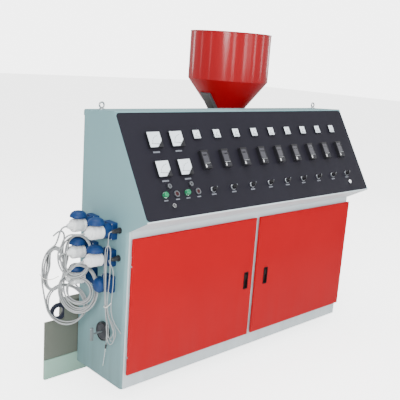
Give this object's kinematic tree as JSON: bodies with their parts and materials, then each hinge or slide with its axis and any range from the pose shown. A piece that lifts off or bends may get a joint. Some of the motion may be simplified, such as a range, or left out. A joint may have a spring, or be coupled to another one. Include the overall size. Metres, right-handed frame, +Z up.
{
  "type": "plastic extruder",
  "caption": "Control cabinet with a sloping console of meters, controllers and switches, two front doors, plug sockets with coiled leads, and a hopper over the base behind it.",
  "frame": {"origin": "on the underside of the base's plinth, half-way through its thickness, in line with the cabinet's left end wall", "axes": "+X along the cabinet's front towards its right end, +Y towards the back, +Z up"},
  "size_m": [1.9569, 0.949, 1.788],
  "materials": {
    "base_paint": "olive-grey enamel",
    "body_paint": "satin grey-green enamel",
    "button_green": "moulded green",
    "button_red": "moulded dark red",
    "case_black": "moulded black",
    "chrome": "polished",
    "cord_grey": "light grey sheath",
    "dark_paint": "dark blue-black enamel",
    "dial_white": "printed white",
    "display_grey": "smoked window",
    "door_paint": "satin red enamel",
    "frame_paint": "satin pale grey-green enamel",
    "glass": "clear",
    "hopper_paint": "gloss red enamel",
    "panel_paint": "satin blue-black",
    "plinth_paint": "pale green enamel",
    "plug_white": "moulded white",
    "socket_blue": "moulded blue",
    "steel": "bright steel"
  },
  "bodies": {
    "cabinet": {"back_wall": "body_paint", "base_frame": "base_paint", "base_lug": "dark_paint", "base_pad": "base_paint", "base_plinth": "plinth_paint", "base_side_plate": "base_paint", "coil_back": "cord_grey", "coil_front": "cord_grey", "coil_hanging": "cord_grey", "coil_small": "cord_grey", "coil_upper": "cord_grey", "console_bearers": "body_paint", "console_underside": "frame_paint", "control_panel": "panel_paint", "controller_cases": "case_black", "controller_displays": "display_grey", "end_wall_left": "body_paint", "end_wall_right": "body_paint", "feed_block": "steel", "floor_plate": "body_paint", "front_frame": "frame_paint", "hinge_brackets": "frame_paint", "hopper_barrel": "hopper_paint", "hopper_cone": "hopper_paint", "lead_back_low": "cord_grey", "lead_back_middle": "cord_grey", "lead_back_top": "cord_grey", "lead_end": "cord_grey", "lead_front_middle": "cord_grey", "lead_front_top": "cord_grey", "lifting_eyes": "steel", "machine_housing": "base_paint", "main_switch_base": "case_black", "meter_cases": "case_black", "meter_dials": "dial_white", "panel_locks": "chrome", "power_plugs": "plug_white", "sensor_hank": "cord_grey", "sensor_lead_drop": "cord_grey", "sensor_lead_middle": "cord_grey", "sensor_lead_top": "cord_grey", "sensor_plugs": "case_black", "sensor_probe": "chrome", "sensor_sockets": "case_black", "sight_frame": "steel", "sight_glass": "glass", "socket_bodies": "socket_blue", "socket_lids": "socket_blue", "start_buttons": "button_green", "stop_buttons": "button_red", "switch_knobs": "case_black", "switch_rings": "chrome", "top_cover": "body_paint"},
    "door_left": {"door_left": "door_paint", "pull_left": "case_black", "hinge_pins_left": "steel"},
    "door_right": {"door_right": "door_paint", "pull_right": "case_black", "hinge_pins_right": "steel"},
    "main_switch_handle": {"main_switch_handle": "case_black"}
  },
  "joints": [
    {"name": "door_left_hinge", "type": "hinge", "parent": "cabinet", "child": "door_left", "pos_m": [0.027, -0.407, 0.474], "axis": [0, 0, -1], "range_deg": [0, 100]},
    {"name": "door_right_hinge", "type": "hinge", "parent": "cabinet", "child": "door_right", "pos_m": [1.715, -0.407, 0.474], "axis": [0, 0, 1], "range_deg": [0, 100]},
    {"name": "main_switch_turn", "type": "hinge", "parent": "cabinet", "child": "main_switch_handle", "pos_m": [-0.04, -0.2415, 0.309], "axis": [1, 0, 0], "range_deg": [0, 90]}
  ]
}
